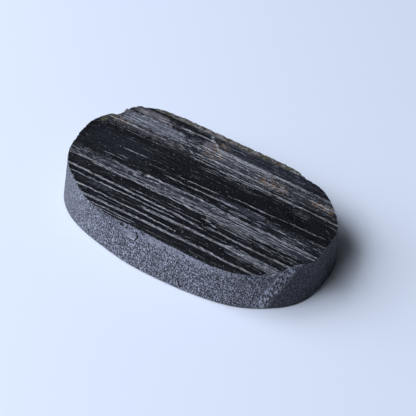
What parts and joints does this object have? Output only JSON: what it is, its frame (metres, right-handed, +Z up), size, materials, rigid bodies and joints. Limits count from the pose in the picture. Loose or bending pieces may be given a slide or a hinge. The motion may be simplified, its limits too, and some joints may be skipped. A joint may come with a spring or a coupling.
{
  "type": "tourmaline crystal",
  "caption": "Black tourmaline crystal ground to an oval slab, with its natural striated face on top and a flat base to rest on.",
  "frame": {"origin": "middle of the flat ground base", "axes": "+X along the crystal's length and striations, towards the thinner end; +Y across the stone, towards the raised back rib; +Z up, out of the grown face"},
  "size_m": [0.038, 0.0238, 0.0075],
  "materials": {
    "black_tourmaline": "glassy striated natural face, matt ground walls and base"
  },
  "bodies": {
    "root": {"tourmaline_crystal": "black_tourmaline"}
  },
  "joints": []
}
